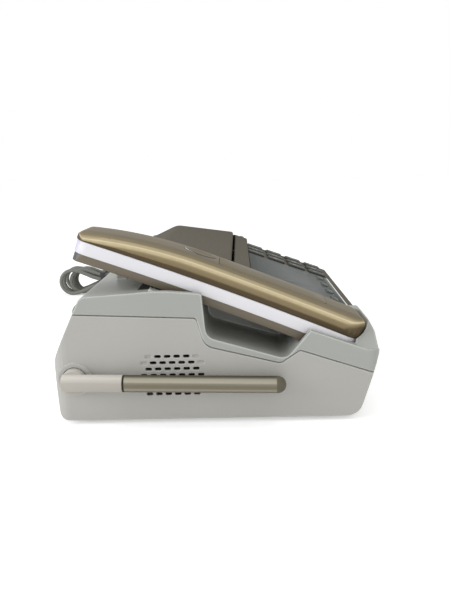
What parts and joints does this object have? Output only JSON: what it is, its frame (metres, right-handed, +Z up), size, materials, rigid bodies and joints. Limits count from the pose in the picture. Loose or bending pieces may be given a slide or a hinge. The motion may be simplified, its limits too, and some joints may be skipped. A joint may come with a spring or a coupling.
{
  "type": "fax phone",
  "caption": "Desktop fax phone with a cordless handset in a sloping cradle, a hinged key panel, a paper cover, a folding antenna and a bundled mains cord.",
  "frame": {"origin": "middle of the body's footprint, antenna included, on the surface it stands on", "axes": "+X along the width, to the user's right; -Y to the user; +Z up"},
  "size_m": [0.5509, 0.3729, 0.1433],
  "materials": {
    "case_grey": "fine-grained pale warm grey",
    "cover_grey": "fine-grained pale grey",
    "panel_grey": "satin warm grey",
    "champagne": "brushed champagne lacquer",
    "band_white": "glossy white with a cool tint",
    "taupe": "satin taupe",
    "white_plastic": "warm white",
    "smoky_tube": "smoky, see-through",
    "window_blue": "glossy bluish grey",
    "display_glass": "display glass",
    "key_grey": "satin grey with light numerals",
    "function_grey": "satin grey",
    "black_plastic": "black",
    "black_rubber": "black rubber",
    "steel": "plated sheet",
    "bare_aluminium": "bare",
    "contact_metal": "plated",
    "board_green": "green lacquered board",
    "board_brown": "brown board",
    "battery_blue": "blue-grey wrap",
    "cord_grey": "grey sheath"
  },
  "bodies": {
    "base": {"lower_case": "case_grey", "upper_cover": "cover_grey", "rubber_feet": "black_rubber", "case_screws": "steel", "main_board": "board_green", "power_board": "board_brown", "speaker": "black_plastic", "line_jacks": "black_plastic", "feed_frame": "steel", "roller_bushes": "white_plastic", "motor_plate": "steel", "feed_motor": "steel", "thermal_head": "bare_aluminium", "paper_tray": "panel_grey", "charge_contacts": "contact_metal", "cord_gland": "black_plastic", "power_cord_lead": "cord_grey", "power_cord_hank": "cord_grey", "power_cord_tail": "cord_grey", "cord_tie": "black_plastic", "power_plug": "cord_grey"},
    "platen": {"platen_roller": "black_rubber", "platen_gear": "white_plastic"},
    "document_feed": {"document_roller": "white_plastic", "document_gear": "white_plastic"},
    "pinion": {"motor_pinion": "contact_metal"},
    "paper_lid": {"paper_cover": "panel_grey"},
    "panel": {"control_panel": "panel_grey", "panel_base": "black_plastic", "display_window": "window_blue", "display_module": "display_glass", "key_board": "board_green", "image_sensor": "black_plastic"},
    "handset": {"handset_top": "champagne", "handset_band": "band_white", "handset_face": "taupe", "battery_cover": "champagne", "handset_battery": "battery_blue", "handset_board": "board_green", "handset_receiver": "black_plastic", "handset_pads": "black_rubber"},
    "antenna": {"antenna_base": "white_plastic", "antenna_tube": "smoky_tube", "antenna_wire": "contact_metal"},
    "key_1_body": {"key_1": "key_grey"},
    "key_2_body": {"key_2": "key_grey"},
    "key_3_body": {"key_3": "key_grey"},
    "key_4_body": {"key_4": "key_grey"},
    "key_5_body": {"key_5": "key_grey"},
    "key_6_body": {"key_6": "key_grey"},
    "key_7_body": {"key_7": "key_grey"},
    "key_8_body": {"key_8": "key_grey"},
    "key_9_body": {"key_9": "key_grey"},
    "key_star_body": {"key_star": "key_grey"},
    "key_0_body": {"key_0": "key_grey"},
    "key_hash_body": {"key_hash": "key_grey"},
    "menu_key_body": {"menu_key": "function_grey"},
    "speaker_key_body": {"speaker_key": "function_grey"},
    "stop_key_body": {"stop_key": "function_grey"},
    "start_key_body": {"start_key": "function_grey"}
  },
  "joints": [
    {"name": "platen_spin", "type": "hinge", "parent": "base", "child": "platen", "pos_m": [0.0265, -0.02601, 0.05001], "axis": [1, 0, 0], "continuous": true},
    {"name": "document_spin", "type": "hinge", "parent": "base", "child": "document_feed", "pos_m": [0.0265, -0.03368, 0.07106], "axis": [1, 0, 0], "continuous": true},
    {"name": "pinion_spin", "type": "hinge", "parent": "base", "child": "pinion", "pos_m": [0.13, -0.01641, 0.03338], "axis": [1, 0, 0], "continuous": true},
    {"name": "paper_lid_hinge", "type": "hinge", "parent": "base", "child": "paper_lid", "pos_m": [0.029, 0.077, 0.1053], "axis": [-1, 0, 0], "range_deg": [0, 70]},
    {"name": "panel_hinge", "type": "hinge", "parent": "base", "child": "panel", "pos_m": [0.029, -0.02143, 0.10187], "axis": [-1, 0, 0], "range_deg": [0, 55]},
    {"name": "handset_lift", "type": "slide", "parent": "base", "child": "handset", "axis": [0, 0, 1], "range_m": [0, 0.16]},
    {"name": "antenna_swing", "type": "hinge", "parent": "base", "child": "antenna", "pos_m": [-0.151, 0.1037, 0.0354], "axis": [-1, 0, 0], "range_deg": [0, 90]},
    {"name": "key_1_press", "type": "slide", "parent": "panel", "child": "key_1_body", "axis": [0, 0.3405, -0.9403], "range_m": [0, 0.0015], "stiffness_N_per_m": 300},
    {"name": "key_2_press", "type": "slide", "parent": "panel", "child": "key_2_body", "axis": [0, 0.3405, -0.9403], "range_m": [0, 0.0015], "stiffness_N_per_m": 300},
    {"name": "key_3_press", "type": "slide", "parent": "panel", "child": "key_3_body", "axis": [0, 0.3405, -0.9403], "range_m": [0, 0.0015], "stiffness_N_per_m": 300},
    {"name": "key_4_press", "type": "slide", "parent": "panel", "child": "key_4_body", "axis": [0, 0.3405, -0.9403], "range_m": [0, 0.0015], "stiffness_N_per_m": 300},
    {"name": "key_5_press", "type": "slide", "parent": "panel", "child": "key_5_body", "axis": [0, 0.3405, -0.9403], "range_m": [0, 0.0015], "stiffness_N_per_m": 300},
    {"name": "key_6_press", "type": "slide", "parent": "panel", "child": "key_6_body", "axis": [0, 0.3405, -0.9403], "range_m": [0, 0.0015], "stiffness_N_per_m": 300},
    {"name": "key_7_press", "type": "slide", "parent": "panel", "child": "key_7_body", "axis": [0, 0.3405, -0.9403], "range_m": [0, 0.0015], "stiffness_N_per_m": 300},
    {"name": "key_8_press", "type": "slide", "parent": "panel", "child": "key_8_body", "axis": [0, 0.3405, -0.9403], "range_m": [0, 0.0015], "stiffness_N_per_m": 300},
    {"name": "key_9_press", "type": "slide", "parent": "panel", "child": "key_9_body", "axis": [0, 0.3405, -0.9403], "range_m": [0, 0.0015], "stiffness_N_per_m": 300},
    {"name": "key_star_press", "type": "slide", "parent": "panel", "child": "key_star_body", "axis": [0, 0.3405, -0.9403], "range_m": [0, 0.0015], "stiffness_N_per_m": 300},
    {"name": "key_0_press", "type": "slide", "parent": "panel", "child": "key_0_body", "axis": [0, 0.3405, -0.9403], "range_m": [0, 0.0015], "stiffness_N_per_m": 300},
    {"name": "key_hash_press", "type": "slide", "parent": "panel", "child": "key_hash_body", "axis": [0, 0.3405, -0.9403], "range_m": [0, 0.0015], "stiffness_N_per_m": 300},
    {"name": "menu_key_press", "type": "slide", "parent": "panel", "child": "menu_key_body", "axis": [0, 0.3405, -0.9403], "range_m": [0, 0.0015], "stiffness_N_per_m": 300},
    {"name": "speaker_key_press", "type": "slide", "parent": "panel", "child": "speaker_key_body", "axis": [0, 0.3405, -0.9403], "range_m": [0, 0.0015], "stiffness_N_per_m": 300},
    {"name": "stop_key_press", "type": "slide", "parent": "panel", "child": "stop_key_body", "axis": [0, 0.3405, -0.9403], "range_m": [0, 0.0015], "stiffness_N_per_m": 300},
    {"name": "start_key_press", "type": "slide", "parent": "panel", "child": "start_key_body", "axis": [0, 0.3405, -0.9403], "range_m": [0, 0.0015], "stiffness_N_per_m": 300}
  ],
  "couplings": [
    {"joint": "document_spin", "follows": "platen_spin", "ratio": -1.8},
    {"joint": "pinion_spin", "follows": "platen_spin", "ratio": -3}
  ]
}
